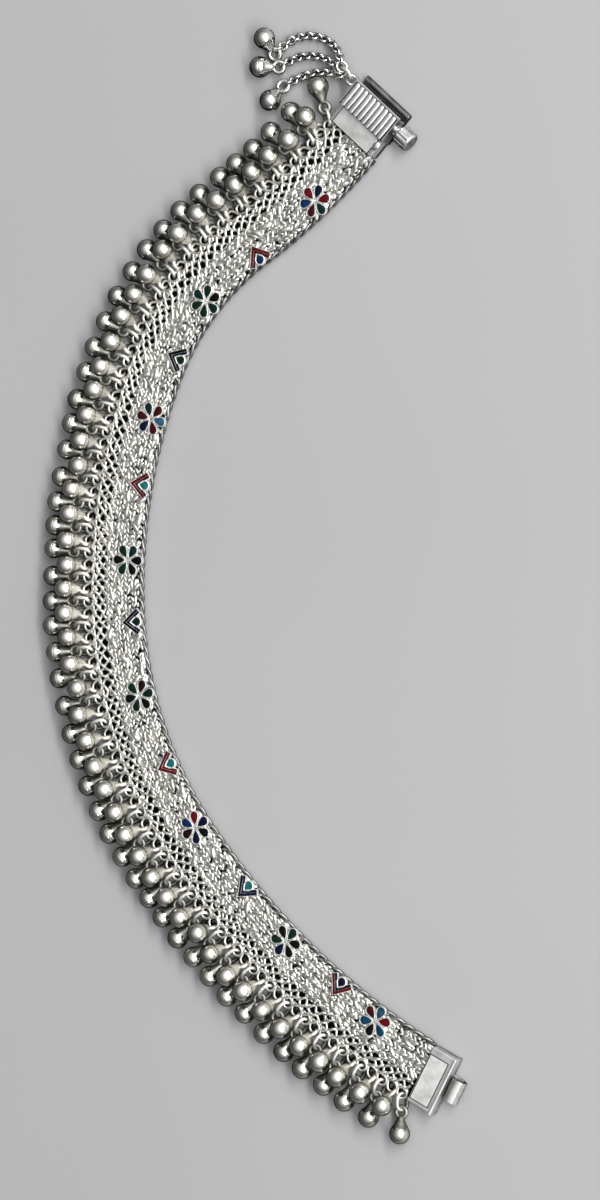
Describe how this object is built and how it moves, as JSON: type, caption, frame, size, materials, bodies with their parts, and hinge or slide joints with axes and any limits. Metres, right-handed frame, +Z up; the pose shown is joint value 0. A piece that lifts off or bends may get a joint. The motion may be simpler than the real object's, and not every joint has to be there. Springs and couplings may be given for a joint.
{
  "type": "anklet",
  "caption": "Silver anklet of dense woven chain with a lace edge, a fringe of round bells, enamelled flowers and a screw clasp with a tassel.",
  "frame": {"origin": "middle of the bounding box at its foot, on the plane the anklet lies on", "axes": "+Z up out of the decorated face, +Y towards the screw clasp, +X towards the concave, plain side"},
  "size_m": [0.104, 0.2474, 0.0084],
  "materials": {
    "weave": "woven silver, tarnished dark in its depths",
    "dark_braid": "silver cord with dark tarnish between its beads",
    "bells": "satin silver, polished on the rounds",
    "links": "bright silver wire",
    "cast_silver": "bright cast silver",
    "clasp_silver": "brushed sheet silver",
    "enamel_blue_red": "translucent glass enamel in blue and red",
    "enamel_green": "translucent green glass enamel",
    "enamel_red_navy": "translucent red and navy glass enamel",
    "enamel_navy": "translucent navy glass enamel"
  },
  "bodies": {
    "band": {"band_weave": "weave", "edge_braid": "dark_braid", "bells_outer": "bells", "bells_inner": "bells", "bell_links": "links", "flower_1": "cast_silver", "flower_2": "cast_silver", "flower_3": "cast_silver", "flower_4": "cast_silver", "flower_5": "cast_silver", "flower_6": "cast_silver", "flower_7": "cast_silver", "flower_8": "cast_silver", "flower_enamel_1": "enamel_blue_red", "flower_enamel_2": "enamel_green", "flower_enamel_3": "enamel_red_navy", "flower_enamel_4": "enamel_green", "flower_enamel_5": "enamel_green", "flower_enamel_6": "enamel_blue_red", "flower_enamel_7": "enamel_green", "flower_enamel_8": "enamel_blue_red", "bud_1": "cast_silver", "bud_2": "cast_silver", "bud_3": "cast_silver", "bud_4": "cast_silver", "bud_5": "cast_silver", "bud_6": "cast_silver", "bud_7": "cast_silver", "bud_enamel_1": "enamel_red_navy", "bud_enamel_2": "enamel_navy", "bud_enamel_3": "enamel_red_navy", "bud_enamel_4": "enamel_navy", "bud_enamel_5": "enamel_red_navy", "bud_enamel_6": "enamel_navy", "bud_enamel_7": "enamel_red_navy", "clasp_box": "clasp_silver", "tassel_ring": "links", "tassel_chain_1": "links", "tassel_chain_2": "links", "tassel_chain_3": "links", "tassel_bell_1": "bells", "tassel_bell_2": "bells", "tassel_bell_3": "bells", "catch_plate": "clasp_silver", "catch_barrel": "clasp_silver"},
    "pin": {"screw_pin": "clasp_silver"}
  },
  "joints": [
    {"name": "pin_turn", "type": "hinge", "parent": "band", "child": "pin", "pos_m": [0.03036, 0.10403, 0.00255], "axis": [-0.7385, 0.6743, 0], "continuous": true}
  ]
}
